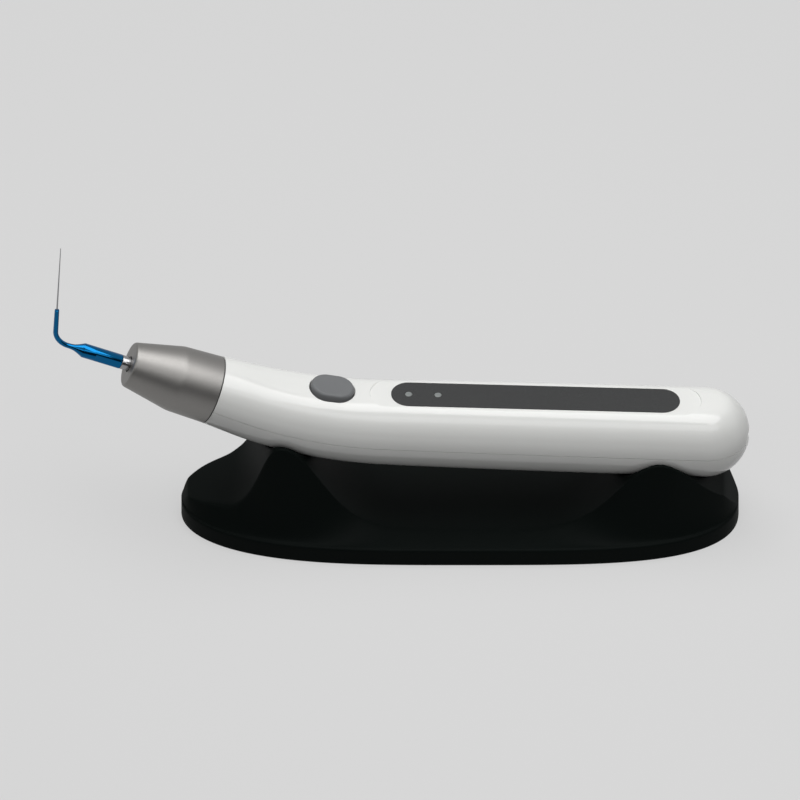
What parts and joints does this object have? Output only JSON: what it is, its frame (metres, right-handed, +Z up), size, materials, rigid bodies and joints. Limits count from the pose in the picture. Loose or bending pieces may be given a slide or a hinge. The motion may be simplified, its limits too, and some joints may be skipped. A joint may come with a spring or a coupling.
{
  "type": "cordless ultrasonic endodontic handpiece on a cradle",
  "caption": "Cordless handpiece with a bent white grip, metal nose, blue angled tip with a fine needle, oval button and dark label strip, lying in a black silicone cradle.",
  "frame": {"origin": "centre of the cradle's flat underside, on the table, below the middle of the cradle", "axes": "+Z up, +X along the handle toward its domed tail (the tip points toward -X), +Y across; the outside is symmetric about the XZ plane"},
  "size_m": [0.2089, 0.0492, 0.1048],
  "materials": {
    "cradle_rubber": "matte black silicone",
    "nose_steel": "fine bead-blasted, warm grey",
    "seal_rubber": "matte black",
    "horn_seal_rubber": "matte red silicone",
    "horn_steel": "polished",
    "piezo_ceramic": "lapped, unglazed",
    "electrode_brass": "bright",
    "stack_steel": "machined",
    "holder_plastic": "moulded",
    "lead_red": "insulated wire",
    "lead_black": "insulated wire",
    "shell_white": "glossy white moulding",
    "screw_steel": "plain",
    "label_charcoal": "charcoal film with a fine speckle",
    "lens_grey": "frosted grey light guide",
    "board_green": "solder mask",
    "transformer_black": "moulded",
    "chip_black": "moulded",
    "led_white": "encapsulated",
    "switch_black": "moulded",
    "socket_steel": "drawn",
    "cell_blue": "shrink-sleeved can",
    "button_grey": "matte mid-grey silicone",
    "plunger_ivory": "moulded",
    "stud_steel": "cut thread",
    "tip_blue": "bright blue anodised",
    "needle_steel": "polished"
  },
  "bodies": {
    "cradle": {"cradle": "cradle_rubber"},
    "handpiece": {"nose_cap": "nose_steel", "nose_seal": "seal_rubber", "horn_seal": "horn_seal_rubber", "transducer_horn": "horn_steel", "piezo_rings": "piezo_ceramic", "electrode_plates": "electrode_brass", "back_mass": "stack_steel", "stack_bolt": "stack_steel", "transducer_holder": "holder_plastic", "transducer_leads": "lead_red", "upper_shell": "shell_white", "lower_shell": "shell_white", "shell_screws": "screw_steel", "label_plate": "label_charcoal", "status_lenses": "lens_grey", "main_board": "board_green", "drive_transformer": "transformer_black", "control_chip": "chip_black", "status_leds": "led_white", "switch_board": "board_green", "tactile_switch": "switch_black", "charge_board": "board_green", "charging_socket": "socket_steel", "battery_cell": "cell_blue", "battery_bracket": "holder_plastic", "battery_leads": "lead_black"},
    "power_button": {"power_button": "button_grey", "switch_plunger": "plunger_ivory"},
    "tip_stud": {"tip_stud": "stud_steel"},
    "tip": {"tip_hub": "tip_blue", "tip_needle": "needle_steel"}
  },
  "joints": [
    {"name": "handpiece_lift", "type": "slide", "parent": "cradle", "child": "handpiece", "axis": [0, 0, 1], "range_m": [0, 0.06]},
    {"name": "button_press", "type": "slide", "parent": "handpiece", "child": "power_button", "axis": [-0.176, 0, -0.9844], "range_m": [0, 0.0006], "stiffness_N_per_m": 1500, "springref_m": -0.0004},
    {"name": "tip_advance", "type": "slide", "parent": "handpiece", "child": "tip_stud", "axis": [-0.9272, 0, 0.3746], "range_m": [0, 0.004]},
    {"name": "tip_turn", "type": "hinge", "parent": "tip_stud", "child": "tip", "pos_m": [-0.10177, 0, 0.05976], "axis": [-0.9272, 0, 0.3746], "range_deg": [0, 2881]}
  ],
  "couplings": [
    {"joint": "tip_turn", "follows": "tip_advance", "rad_per_m": 12566}
  ]
}
